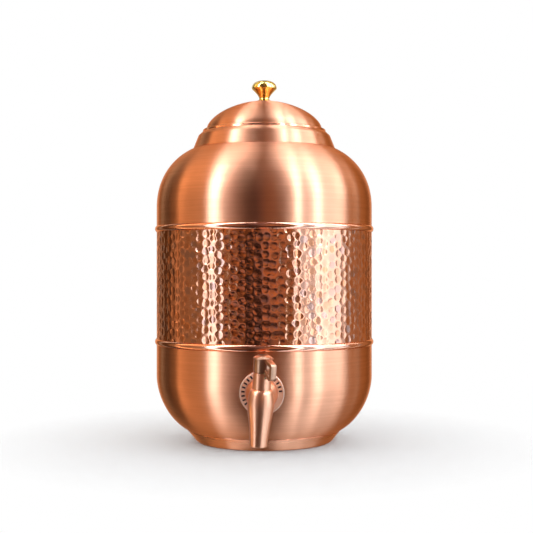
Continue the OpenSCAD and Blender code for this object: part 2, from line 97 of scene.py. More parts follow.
class Nodes:
    """Lays out the nodes of one material."""

    def __init__(self, name: str) -> None:
        """Start an empty material.

        Args:
            name: Name of the material.
        """
        self.material = bpy.data.materials.new(name)
        self.material.use_nodes = True
        self.tree = self.material.node_tree
        self.tree.nodes.clear()

    def add(self, kind: str, inputs: dict | None = None, **settings: object) -> bpy.types.Node:
        """Add a node.

        Args:
            kind: The node's type.
            inputs: Values for its sockets, or the sockets that feed them.
            settings: The node's own settings.

        Returns:
            The new node.
        """
        node = self.tree.nodes.new(kind)
        for key, value in settings.items():
            setattr(node, key, value)
        for key, value in (inputs or {}).items():
            if isinstance(value, bpy.types.NodeSocket):
                self.tree.links.new(value, node.inputs[key])
            else:
                node.inputs[key].default_value = value
        return node

    def vector(self, operation: str, a: object, b: object = (0.0, 0.0, 0.0)) -> bpy.types.NodeSocket:
        """Work on vectors.

        Args:
            operation: Name of the vector operation.
            a: First vector or its socket.
            b: Second vector or its socket.

        Returns:
            The socket of the result, a value for LENGTH and a vector otherwise.
        """
        node = self.add("ShaderNodeVectorMath", {0: a, 1: b}, operation=operation)
        return node.outputs["Value" if operation == "LENGTH" else "Vector"]

    def maths(self, operation: str, a: object, b: object = 0.0) -> bpy.types.NodeSocket:
        """Work on numbers and return the socket of the result."""
        return self.add("ShaderNodeMath", {0: a, 1: b}, operation=operation).outputs["Value"]

    def spread(self, value: bpy.types.NodeSocket, source: Point, target: Point) -> bpy.types.NodeSocket:
        """Map a value from one range to another.

        Args:
            value: Socket of the value.
            source: Lowest and highest value that come in.
            target: What they become.

        Returns:
            The socket of the mapped value.
        """
        inputs = {"Value": value, "From Min": source[0], "From Max": source[1], "To Min": target[0],
                  "To Max": target[1]}
        return self.add("ShaderNodeMapRange", inputs).outputs["Result"]

    def noise(self, vector: bpy.types.NodeSocket, scale: float, detail: float = 3.0,
              w: bpy.types.NodeSocket | None = None) -> bpy.types.NodeSocket:
        """Sample a noise.

        Args:
            vector: Where it is sampled.
            scale: How fine it is.
            detail: Number of finer layers.
            w: A fourth coordinate, if it has one.

        Returns:
            The socket of the noise's value.
        """
        inputs = {"Vector": vector, "Scale": scale, "Detail": detail, "Roughness": NOISE_ROUGHNESS}
        dimensions = "3D"
        if w is not None:
            inputs["W"] = w
            dimensions = "4D"
        return self.add("ShaderNodeTexNoise", inputs, noise_dimensions=dimensions).outputs[0]

    def mix(self, factor: bpy.types.NodeSocket, a: object, b: object) -> bpy.types.NodeSocket:
        """Mix two colours by a factor and return the socket of the result."""
        node = self.add("ShaderNodeMix", data_type="RGBA")
        self.tree.links.new(factor, node.inputs["Factor"])
        for socket, value in ((node.inputs[6], a), (node.inputs[7], b)):
            if isinstance(value, bpy.types.NodeSocket):
                self.tree.links.new(value, socket)
            else:
                socket.default_value = (*value, 1.0)
        return node.outputs[2]

    def bump(self, height: bpy.types.NodeSocket, strength: float, distance: float) -> bpy.types.NodeSocket:
        """Turn a height into a normal and return its socket."""
        inputs = {"Height": height, "Strength": strength, "Distance": distance}
        return self.add("ShaderNodeBump", inputs).outputs["Normal"]

    def place(self) -> bpy.types.NodeSocket:
        """Return the socket of the object's own coordinates."""
        return self.add("ShaderNodeTexCoord").outputs["Object"]

    def surface(self, inputs: dict) -> bpy.types.Material:
        """Close the tree with its shader.

        Args:
            inputs: Values for the shader's sockets, or the sockets that feed them.

        Returns:
            The finished material.
        """
        shader = self.add("ShaderNodeBsdfPrincipled", inputs)
        self.add("ShaderNodeOutputMaterial", {"Surface": shader.outputs[0]})
        return self.material


@dataclass(frozen=True)
class SpunFinish:
    """Sheet metal brushed on the lathe: its streaks run around the vessel's axis."""

    name: str
    colour: Colour
    shade: Colour
    rough: Point
    stretch: float
    edge: Colour = (0.90, 0.58, 0.41)
    around: float = 1.6
    across: float = 600.0
    streak_detail: float = 4.0
    streak_share: float = 0.7
    cloud_scale: float = 22.0
    cloud_share: float = 0.3
    brush_turn: float = 0.25
    relief: float = 0.6
    groove: float = 0.06 * MM
    burnish: str = "burnish"
    burnished: float = 0.7

    def material(self) -> bpy.types.Material:
        """Return the finish as a material."""
        nodes = Nodes(self.name)
        place = nodes.place()
        level = nodes.vector("MULTIPLY", place, (1.0, 1.0, 0.0))
        heading = nodes.vector("MULTIPLY", nodes.vector("NORMALIZE", level), (self.around, self.around, 0.0))
        height = nodes.vector("MULTIPLY", place, (0.0, 0.0, self.across))
        depth = nodes.maths("MULTIPLY", nodes.vector("LENGTH", level), self.across)
        streak = nodes.noise(nodes.vector("ADD", heading, height), 1.0, self.streak_detail, depth)
        cloud = nodes.noise(place, self.cloud_scale)
        wear = nodes.maths("ADD", nodes.spread(streak, NOISE_SPAN, (0.0, self.streak_share)),
                           nodes.spread(cloud, CLOUD_SPAN, (0.0, self.cloud_share)))
        burnish = nodes.add("ShaderNodeAttribute", attribute_name=self.burnish).outputs["Fac"]
        rough = nodes.maths("MULTIPLY", nodes.spread(wear, UNIT, self.rough),
                            nodes.spread(burnish, UNIT, (1.0, self.burnished)))
        tangent = nodes.add("ShaderNodeTangent", direction_type="RADIAL", axis="Z").outputs[0]
        return nodes.surface({
            "Base Color": nodes.mix(wear, self.colour, self.shade),
            "Metallic": 1.0,
            "Roughness": rough,
            "Anisotropic": self.stretch,
            "Anisotropic Rotation": self.brush_turn,
            "Tangent": tangent,
            "Specular Tint": (*self.edge, 1.0),
            "Normal": nodes.bump(streak, self.relief, self.groove),
        })


@dataclass(frozen=True)
class HammeredFinish:
    """Polished sheet metal with planishing marks: painted shade darkens it where the hammer went deep, and
    each mark's tint is patina and partly painted reflection.
    """

    name: str
    colour: Colour
    shade: Colour
    rough: Point
    edge: Colour = (0.86, 0.56, 0.42)
    # Tints of the marks: patina, and partly painted reflection of the surroundings in the dimples.
    ember: Colour = (0.70, 0.21, 0.075)
    ember_span: Point = (0.30, 0.0)
    plum: Colour = (0.47, 0.23, 0.155)
    plum_span: Point = (0.60, 1.0)
    tint_level: float = 0.7
    recess_shade_share: float = 0.6
    cloud_scale: float = 60.0
    cloud_detail: float = 4.0
    cloud_share: float = 0.4
    pit_scale: float = 420.0
    relief: float = 0.12
    pit: float = 0.1 * MM
    depth: str = "hammer"
    patina_and_reflection: str = "patina_and_reflection"

    def material(self) -> bpy.types.Material:
        """Return the finish as a material."""
        nodes = Nodes(self.name)
        place = nodes.place()
        struck = nodes.add("ShaderNodeAttribute", attribute_name=self.depth).outputs["Fac"]
        patina_and_reflection = nodes.add("ShaderNodeAttribute", attribute_name=self.patina_and_reflection).outputs["Fac"]
        cloud = nodes.noise(place, self.cloud_scale, self.cloud_detail)
        # Painted shade: the colour darkens with the depth of each hammer mark, as shade in its hollow, mixed
        # with a random cloud.
        recess_shade_and_cloud = nodes.maths("ADD", nodes.spread(struck, UNIT, (0.0, self.recess_shade_share)),
                           nodes.spread(cloud, CLOUD_SPAN, (0.0, self.cloud_share)))
        metal = nodes.mix(recess_shade_and_cloud, self.colour, self.shade)
        # Per-mark ember and plum tints: patina, and partly painted reflection of the surroundings in the
        # dimples.
        for span, hue in ((self.ember_span, self.ember), (self.plum_span, self.plum)):
            metal = nodes.mix(nodes.spread(patina_and_reflection, span, (0.0, self.tint_level)), metal, hue)
        return nodes.surface({
            "Base Color": metal,
            "Metallic": 1.0,
            "Roughness": nodes.spread(cloud, NOISE_SPAN, self.rough),
            "Specular Tint": (*self.edge, 1.0),
            "Normal": nodes.bump(nodes.noise(place, self.pit_scale), self.relief, self.pit),
        })


@dataclass(frozen=True)
class CastFinish:
    """Solid stuff that was cast, turned or moulded: metal, or rubber, liner and enamel if not metallic."""

    name: str
    colour: Colour
    shade: Colour
    rough: Point
    grain: float = 500.0
    relief: float = 0.05
    metallic: float = 1.0
    grain_detail: float = 4.0
    grain_share: float = 0.4
    cloud_size: float = 12.0
    cloud_share: float = 0.6
    pit: float = 0.05 * MM

    def material(self) -> bpy.types.Material:
        """Return the finish as a material."""
        nodes = Nodes(self.name)
        place = nodes.place()
        fine = nodes.noise(place, self.grain, self.grain_detail)
        cloud = nodes.noise(place, self.grain / self.cloud_size)
        wear = nodes.maths("ADD", nodes.spread(fine, NOISE_SPAN, (0.0, self.grain_share)),
                           nodes.spread(cloud, CLOUD_SPAN, (0.0, self.cloud_share)))
        return nodes.surface({
            "Base Color": nodes.mix(wear, self.colour, self.shade),
            "Metallic": self.metallic,
            "Roughness": nodes.spread(wear, UNIT, self.rough),
            "Normal": nodes.bump(fine, self.relief, self.pit),
        })


Finish = SpunFinish | HammeredFinish | CastFinish


SATIN_COPPER = SpunFinish("satin_copper", (0.82, 0.30, 0.138), (0.70, 0.24, 0.105), (0.32, 0.38), 1.0)
POLISHED_COPPER = SpunFinish("polished_copper", (0.85, 0.34, 0.18), (0.77, 0.28, 0.14), (0.13, 0.19), 0.3)
HAMMERED_COPPER = HammeredFinish("hammered_copper", (0.80, 0.295, 0.145), (0.66, 0.218, 0.097), (0.11, 0.18))
TAP_COPPER = CastFinish("tap_copper", (0.88, 0.345, 0.165), (0.82, 0.305, 0.142), (0.31, 0.35))
HANDLE_BRONZE = CastFinish("handle_bronze", (0.52, 0.225, 0.11), (0.40, 0.17, 0.082), (0.27, 0.36))
PLATE_COPPER = CastFinish("plate_copper", (0.99, 0.65, 0.41), (0.95, 0.57, 0.34), (0.46, 0.56))
POLISHED_BRASS = CastFinish("polished_brass", (0.86, 0.56, 0.14), (0.76, 0.46, 0.09), (0.10, 0.15),
                            grain=300.0, relief=0.015)
TURNED_BRASS = CastFinish("turned_brass", (0.70, 0.50, 0.20), (0.58, 0.38, 0.13), (0.22, 0.34))
ZINC_STEEL = CastFinish("zinc_steel", (0.44, 0.42, 0.40), (0.32, 0.31, 0.29), (0.32, 0.46), grain=700.0)
BLACK_RUBBER = CastFinish("black_rubber", (0.014, 0.013, 0.012), (0.008, 0.007, 0.007), (0.78, 0.90),
                          grain=900.0, relief=0.2, metallic=0.0)
WHITE_LINER = CastFinish("white_liner", (0.86, 0.84, 0.79), (0.78, 0.76, 0.70), (0.42, 0.52),
                         grain=600.0, metallic=0.0)
BLACK_ENAMEL = CastFinish("black_enamel", (0.022, 0.016, 0.013), (0.012, 0.009, 0.008), (0.28, 0.40),
                          grain=600.0, metallic=0.0)


# Outlines, as (radius, height) from the axis outwards


@dataclass(frozen=True)
class Bulge:
    """A rounded corner between a level and an upright stretch."""

    width: float
    height: float
    fullness: float

    def at(self, angle: float) -> Point:
        """Return the point at an angle, from level (0) to upright (a quarter turn)."""
        power = 2.0 / self.fullness
        return self.width * math.cos(angle) ** power, self.height * math.sin(angle) ** power

    def angle_at(self, offset: float) -> float:
        """Return the angle at a distance from the corner's middle, measured along its width."""
        return math.acos(min(1.0, max(0.0, offset / self.width)) ** (self.fullness / 2.0))

    def path(self, centre: Point, start: float, end: float, upward: float = 1.0,
             steps: int = 28) -> list[Point]:
        """Draw the corner.

        Args:
            centre: Its middle, as radius and height.
            start: Angle of the first point.
            end: Angle of the last point.
            upward: 1 for a corner above its middle, -1 for one below.
            steps: Number of stretches.

        Returns:
            The points in order.
        """
        turns = (start + (end - start) * i / steps for i in range(steps + 1))
        return [(centre[0] + r, centre[1] + upward * z) for r, z in map(self.at, turns)]


def arc(centre: Point, radius: float, start: float, end: float, steps: int = 8) -> list[Point]:
    """Draw an arc.

    Args:
        centre: Middle of the arc.
        radius: Its radius.
        start: First angle, in degrees.
        end: Last angle, in degrees.
        steps: Number of stretches.

    Returns:
        The points in order.
    """
    angles = (math.radians(start + (end - start) * i / steps) for i in range(steps + 1))
    return [(centre[0] + radius * math.cos(a), centre[1] + radius * math.sin(a)) for a in angles]


def rounded(corners: Sequence[tuple[float, ...]], steps: int = 6) -> list[Point]:
    """Round the corners of a path.

    Args:
        corners: Points (x, y), or (x, y, radius) where the corner is rounded.
        steps: Number of stretches in a rounding.

    Returns:
        The points of the rounded path.
    """
    path: list[Point] = []
    for i, corner in enumerate(corners):
        here = Vector(corner[:2])
        if len(corner) < 3:
            path.append(tuple(here))
            continue
        back = (Vector(corners[i - 1][:2]) - here).normalized()
        ahead = (Vector(corners[i + 1][:2]) - here).normalized()
        half = back.angle(ahead) / 2.0
        centre = here + (back + ahead).normalized() * corner[2] / math.sin(half)
        first = here + back * corner[2] / math.tan(half) - centre
        last = here + ahead * corner[2] / math.tan(half) - centre
        turn = last.angle_signed(first)
        for k in range(steps + 1):
            spoke = Matrix.Rotation(turn * k / steps, 2) @ first
            path.append(tuple(centre + spoke))
    return path


# Work with the modelling operators


def put_down() -> None:
    """Leave edit mode and deselect everything."""
    if bpy.context.mode != "OBJECT":
        bpy.ops.object.mode_set(mode="OBJECT")
    bpy.ops.object.select_all(action="DESELECT")


def pick_up(piece: bpy.types.Object) -> None:
    """Select one piece alone and make it active."""
    put_down()
    piece.select_set(True)
    bpy.context.view_layer.objects.active = piece


def named(name: str) -> bpy.types.Object:
    """Name the object that was just added, and its mesh, and return it."""
    piece = bpy.context.object
    piece.name = name
    piece.data.name = name
    return piece


def draw(name: str, path: Sequence[Sequence[float]]) -> bpy.types.Object:
    """Draw a line by extruding one point along a path, and stay in edit mode with all of it selected.

    Args:
        name: Name of the piece.
        path: Its points, in three coordinates.

    Returns:
        The new piece.
    """
    put_down()
    bpy.ops.mesh.primitive_plane_add(size=MM)
    piece = named(name)
    bpy.ops.object.mode_set(mode="EDIT")
    bpy.ops.mesh.merge(type="CENTER")
    bpy.ops.transform.translate(value=path[0])
    for here, there in zip(path, path[1:]):
        step = Vector(there) - Vector(here)
        bpy.ops.mesh.extrude_vertices_move(TRANSFORM_OT_translate={"value": step})
    bpy.ops.mesh.select_all(action="SELECT")
    return piece


def tidy(outwards: bool = True) -> None:
    """Merge the doubles of the mesh in edit mode and turn its faces outwards, then leave edit mode."""
    bpy.ops.mesh.select_all(action="SELECT")
    bpy.ops.mesh.remove_doubles(threshold=MERGE_DISTANCE)
    if outwards:
        bpy.ops.mesh.normals_make_consistent(inside=False)
    bpy.ops.object.mode_set(mode="OBJECT")


def spun(name: str, outline: Sequence[Point], steps: int, closed: bool = False) -> bpy.types.Object:
    """Spin an outline around the Z axis.

    Args:
        name: Name of the piece.
        outline: Points as radius and height.
        steps: Number of stretches around the axis.
        closed: Whether the outline goes back to its first point.

    Returns:
        The new piece, in object mode.
    """
    loop = [*outline, outline[0]] if closed else outline
    piece = draw(name, [(r, 0.0, z) for r, z in loop])
    bpy.ops.mesh.spin(steps=steps, angle=math.tau, center=(0.0, 0.0, 0.0), axis=(0.0, 0.0, 1.0))
    tidy()
    return piece


def modify(piece: bpy.types.Object, kind: str, **settings: object) -> None:
    """Add a modifier to a piece and apply it.

    Args:
        piece: The piece.
        kind: The modifier's type.
        settings: The modifier's settings.
    """
    pick_up(piece)
    modifier = piece.modifiers.new(kind.title(), kind)
    for key, value in settings.items():
        setattr(modifier, key, value)
    bpy.ops.object.modifier_apply(modifier=modifier.name)


def thicken(piece: bpy.types.Object, wall: float) -> None:
    """Give a spun sheet its wall, on the inside."""
    modify(piece, "SOLIDIFY", thickness=wall, offset=-1.0, use_even_offset=True)


def combine(piece: bpy.types.Object, tool: bpy.types.Object, operation: str) -> None:
    """Join a tool to a piece, or cut the piece with it, and remove the tool.

    Args:
        piece: The piece that stays.
        tool: The other solid.
        operation: UNION or DIFFERENCE.
    """
    modify(piece, "BOOLEAN", object=tool, operation=operation, solver="EXACT")
    bpy.data.objects.remove(tool)


def rod(name: str, radius: float, low: float, high: float, sides: int = 64) -> bpy.types.Object:
    """Make a plain round tool for cutting, upright between two heights."""
    put_down()
    bpy.ops.mesh.primitive_cylinder_add(vertices=sides, radius=radius, depth=high - low,
                                        location=(0.0, 0.0, (low + high) / 2.0))
    tool = named(name)
    bpy.ops.object.transform_apply(location=True)
    return tool


def move(piece: bpy.types.Object, place: Matrix) -> bpy.types.Object:
    """Put a piece where it belongs, with its place in its mesh, and return it."""
    pick_up(piece)
    piece.matrix_world = place @ piece.matrix_world
    bpy.ops.object.transform_apply(location=True, rotation=True, scale=True)
    return piece


def smooth(piece: bpy.types.Object, angle: float = 30.0) -> None:
    """Shade a piece smooth where its faces meet at less than an angle, in degrees."""
    pick_up(piece)
    bpy.ops.object.shade_smooth_by_angle(angle=math.radians(angle))


def burnish(piece: bpy.types.Object, low: float, high: float) -> None:
    """Mark a spun piece as burnished between two heights, where the tool polished its edge."""
    mesh = piece.data
    height = np.empty(len(mesh.vertices) * 3)
    mesh.vertices.foreach_get("co", height)
    height = height[2::3]
    attribute = mesh.attributes.new(SATIN_COPPER.burnish, "FLOAT", "POINT")
    attribute.data.foreach_set("value", ((height > low) & (height < high)).astype(np.float32))


class Paint:
    """Gives pieces their finish, and keeps one material for each finish."""

    made: dict[str, bpy.types.Material] = {}

    @classmethod
    def material(cls, finish: Finish) -> bpy.types.Material:
        """Return the finish's material, made once."""
        if finish.name not in cls.made:
            cls.made[finish.name] = finish.material()
        return cls.made[finish.name]

    @classmethod
    def coat(cls, piece: bpy.types.Object, finish: Finish) -> None:
        """Put the finish on every slot of a piece."""
        piece.data.materials.clear()
        piece.data.materials.append(cls.material(finish))


def fit(piece: bpy.types.Object, body: Body, finish: Finish, node: str | None = None) -> None:
    """Finish a modelled piece and tie it to the frame.

    Args:
        piece: The piece, in its place.
        body: The body that it moves with.
        finish: Its looks.
        node: The CAD node that it stands for, if any.
    """
    Paint.coat(piece, finish)
    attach(piece, body.value)
    if node:
        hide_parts(node)
    LOG.info("%s: %d faces on %s", piece.name, len(piece.data.polygons), body.value)


# Vessel


@dataclass
class Vessel:
    """The spun body around its hammered band: bowl, shoulder, neck, foot and two beads."""

    wall: float = 1.0 * MM
    bowl: Bulge = Bulge(37.4 * MM, 48.2 * MM, 1.82)
    shoulder: Bulge = Bulge(54.0 * MM, 53.9 * MM, 2.12)
    bead_height: float = 5.2 * MM
    bead_out: float = 1.4 * MM
    neck_rim: float = 1.2 * MM
    foot_flare: float = 38.7
    foot_round: float = 5.5 * MM
    foot_flange: float = 6.0 * MM
    foot_joint: float = 3.0 * MM
    foot_lip: float = 0.5 * MM
    shank_hole: float = 8.15 * MM
    drill_half: float = 20.0 * MM
    corner_steps: int = 36
    steps: int = 256

    def __post_init__(self) -> None:
        """Read the main heights and radii off the frame."""
        low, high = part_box("hammered_band")
        self.radius = high.x
        self.band_low, self.band_high = low.z, high.z
        self.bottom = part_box("lower_bowl")[0].z
        self.bowl_middle = (self.radius - self.bowl.width, self.bottom + self.bowl.height)
        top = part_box("upper_shell")[1].z
        neck_low, neck_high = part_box("neck_collar")
        self.neck_low, self.neck_high = neck_low.z, neck_high.z
        self.neck_radius = neck_high.x - self.neck_rim
        centre = self.radius - self.shoulder.width
        self.shoulder_end = self.shoulder.angle_at(self.neck_radius - centre)
        self.shoulder_middle = (centre, top - self.shoulder.at(self.shoulder_end)[1])

    def build(self) -> None:
        """Model and dress every piece of the vessel."""
        self.build_upper_shell()
        self.build_lower_bowl()
        self.build_neck()
        self.build_foot()
        for name, height in (("upper_bead", self.band_high), ("lower_bead", self.band_low)):
            self.build_bead(name, height)

    def build_upper_shell(self) -> None:
        """Spin the straight wall and shoulder above the band."""
        outline = [(self.radius, self.band_high),
                   *self.shoulder.path(self.shoulder_middle, 0.0, self.shoulder_end,
                                       steps=self.corner_steps)]
        shell = spun("shoulder_shell", outline, self.steps)
        thicken(shell, self.wall)
        smooth(shell)
        fit(shell, Body.VESSEL, SATIN_COPPER, "upper_shell")

    def build_lower_bowl(self) -> None:
        """Spin the bowl below the band and drill it for the tap's shank."""
        corner = self.bowl.path(self.bowl_middle, QUARTER, 0.0, -1.0, self.corner_steps)
        outline = [(0.0, self.bottom), *corner, (self.radius, self.band_low)]
        bowl = spun("bowl_shell", outline, self.steps)
        thicken(bowl, self.wall)
        drill = rod("drill", self.shank_hole, -self.drill_half, self.drill_half)
        combine(bowl, move(drill, TAP_PLACE.shank()), "DIFFERENCE")
        smooth(bowl)
        fit(bowl, Body.VESSEL, SATIN_COPPER, "lower_bowl")

    def build_neck(self) -> None:
        """Spin the neck with its rolled rim."""
        middle = (self.neck_radius, self.neck_high - self.neck_rim)
        inside = self.neck_radius - self.wall
        touch = math.degrees(math.acos(self.wall / self.neck_rim))
        outline = [(inside, self.neck_low), (self.neck_radius, self.neck_low),
                   *arc(middle, self.neck_rim, -90.0, 180.0 + touch, steps=24)]
        neck = spun("neck_rim", outline, self.steps, closed=True)
        smooth(neck)
        fit(neck, Body.VESSEL, SATIN_COPPER, "neck_collar")

    def build_foot(self) -> None:
        """Spin the flared foot with the flange that it rests on."""
        slope = math.tan(math.radians(self.foot_flare))
        joint_z = self.bottom + self.foot_joint
        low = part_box("foot_ring")[0].z
        rise = self.bowl_middle[1] - joint_z
        joint_r = self.bowl_middle[0] + self.bowl.width * (
            1.0 - (rise / self.bowl.height) ** self.bowl.fullness) ** (1.0 / self.bowl.fullness)
        foot_r = joint_r - (joint_z - low) * slope + self.foot_lip
        outline = rounded([(foot_r - self.foot_flange, low), (foot_r, low, self.foot_round),
                           (joint_r + self.foot_lip, joint_z, self.foot_lip / 2.0),
                           (joint_r - self.wall, joint_z + self.foot_lip)], steps=12)
        foot = spun("foot", outline, self.steps)
        thicken(foot, self.wall)
        burnish(foot, joint_z - self.foot_lip, joint_z + self.foot_lip)
        smooth(foot)
        fit(foot, Body.VESSEL, SATIN_COPPER, "foot_ring")

    def build_bead(self, node: str, height: float) -> None:
        """Spin one half-round bead onto the wall.

        Args:
            node: The CAD node that it stands for.
            height: Height of its middle.
        """
        half = self.bead_height / 2.0
        radius = (half ** 2 + self.bead_out ** 2) / (2.0 * self.bead_out)
        sweep = math.degrees(math.asin(half / radius))
        centre = (self.radius + self.bead_out - radius, height)
        inside = self.radius - self.wall / 2.0
        crest = arc(centre, radius, -sweep, sweep, steps=20)
        outline = [(inside, height - half), *crest, (inside, height + half)]
        bead = spun(node.replace("bead", "hem"), outline, self.steps, closed=True)
        smooth(bead, angle=60.0)
        fit(bead, Body.VESSEL, POLISHED_COPPER, node)


@dataclass
class HammeredBand:
    """The band between the beads, with rows of hammer marks."""

    wall: float = 1.0 * MM
    pitch: float = 6.1 * MM
    row: float = 6.83 * MM
    reach: float = 3.15 * MM
    depth: float = 0.29 * MM
    fullness: float = 1.4
    tilt: float = 0.035
    stray: float = 0.65 * MM
    stagger: float = 0.5
    row_shift: float = 0.25
    lift_spread: float = 0.2
    reach_spread: Point = (0.88, 1.12)
    depth_spread: Point = (0.75, 1.15)
    plain: float = 6.5 * MM
    unmarked_tint: float = 0.5
    edge_fade: float = 1.0 * MM
    around: int = 752
    rows: int = 128
    seed: int = 7

    def build(self) -> None:
        """Spin the tube, hammer it and dress it."""
        low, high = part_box("hammered_band")
        inside = high.x - self.wall
        heights = [low.z + (high.z - low.z) * i / self.rows for i in range(self.rows + 1)]
        outline = [(inside, low.z), *((high.x, z) for z in heights), (inside, high.z)]
        band = spun("hammered_wall", outline, self.around, closed=True)
        self.hammer(band, high.x, low.z, high.z)
        smooth(band, angle=60.0)
        fit(band, Body.VESSEL, HAMMERED_COPPER, "hammered_band")

    def marks(self, radius: float, low: float, high: float) -> np.ndarray:
        """Scatter the hammer marks in staggered rows.

        Args:
            radius: Radius of the wall.
            low: Height of the band's lower edge.
            high: Height of its upper edge.

        Returns:
            One row of distance around the wall, height, reach, depth, two tilts and tint for each mark; the
            tint is patina and partly painted reflection.
        """
        rng = np.random.default_rng(self.seed)
        rows = round((high - low - 2.0 * self.plain) / self.row)
        columns = round(math.tau * radius / self.pitch)
        found = []
        for k in range(columns):
            lift = self.stagger * (k % 2) + rng.uniform(-self.lift_spread, self.lift_spread)
            height = low + self.plain + (np.arange(rows + 1) + lift - self.row_shift) * self.row
            turn = np.full(rows + 1, k * math.tau * radius / columns)
            found.append(np.column_stack([
                turn + rng.normal(0.0, self.stray, rows + 1),
                height + rng.normal(0.0, self.stray, rows + 1),
                self.reach * rng.uniform(*self.reach_spread, rows + 1),
                self.depth * rng.uniform(*self.depth_spread, rows + 1),
                *rng.normal(0.0, self.tilt, (2, rows + 1)),
                rng.uniform(0.0, 1.0, rows + 1)]))
        return np.vstack(found)

    def hammer(self, band: bpy.types.Object, radius: float, low: float, high: float) -> None:
        """Push the outer face in at every mark, and keep how deep each point went, for painted shade in the
        marks, and its mark's tint, which is patina and partly painted reflection.

        Args:
            band: The plain tube.
            radius: Its outer radius.
            low: Height of its lower edge.
            high: Height of its upper edge.
        """
        mesh = band.data
        co = np.empty(len(mesh.vertices) * 3)
        mesh.vertices.foreach_get("co", co)
        co = co.reshape(-1, 3)
        distance = np.hypot(co[:, 0], co[:, 1])
        outer = distance > radius - self.wall / 2.0
        girth = math.tau * radius
        turn = np.mod(np.arctan2(co[:, 1], co[:, 0]), math.tau) * radius
        struck, patina_and_reflection = np.zeros(len(co)), np.full(len(co), self.unmarked_tint)
        order = np.argsort(turn)
        ordered = turn[order]
        for spot, height, reach, depth, aside, upward, tint_level in self.marks(radius, low, high):
            for shifted in (spot - girth, spot, spot + girth):
                first, last = np.searchsorted(ordered, (shifted - reach, shifted + reach))
                near = order[first:last]
                across, along = turn[near] - shifted, co[near, 2] - height
                away = (across ** 2 + along ** 2) / reach ** 2
                bowl = depth * (1.0 - away ** self.fullness) + aside * across + upward * along
                deeper = near[(away < 1.0) & (bowl > struck[near])]
                # The deepest mark gives the point its tint, which is patina and partly painted reflection.
                patina_and_reflection[deeper] = tint_level
                struck[near] = np.maximum(struck[near], np.where(away < 1.0, bowl, 0.0))
        edge = np.minimum(co[:, 2] - low, high - co[:, 2])
        struck *= outer * np.clip(edge / self.edge_fade, 0.0, 1.0)
        co[:, :2] *= (1.0 - struck / distance)[:, None]
        mesh.vertices.foreach_set("co", co.ravel())
        # How deep each point went, which the finish turns into painted shade in the marks.
        struck = np.clip(struck / self.depth, 0.0, 1.0)
        for name, values in ((HAMMERED_COPPER.depth, struck), (HAMMERED_COPPER.patina_and_reflection, patina_and_reflection)):
            attribute = mesh.attributes.new(name, "FLOAT", "POINT")
            attribute.data.foreach_set("value", values.astype(np.float32))
        mesh.update()


# Lid


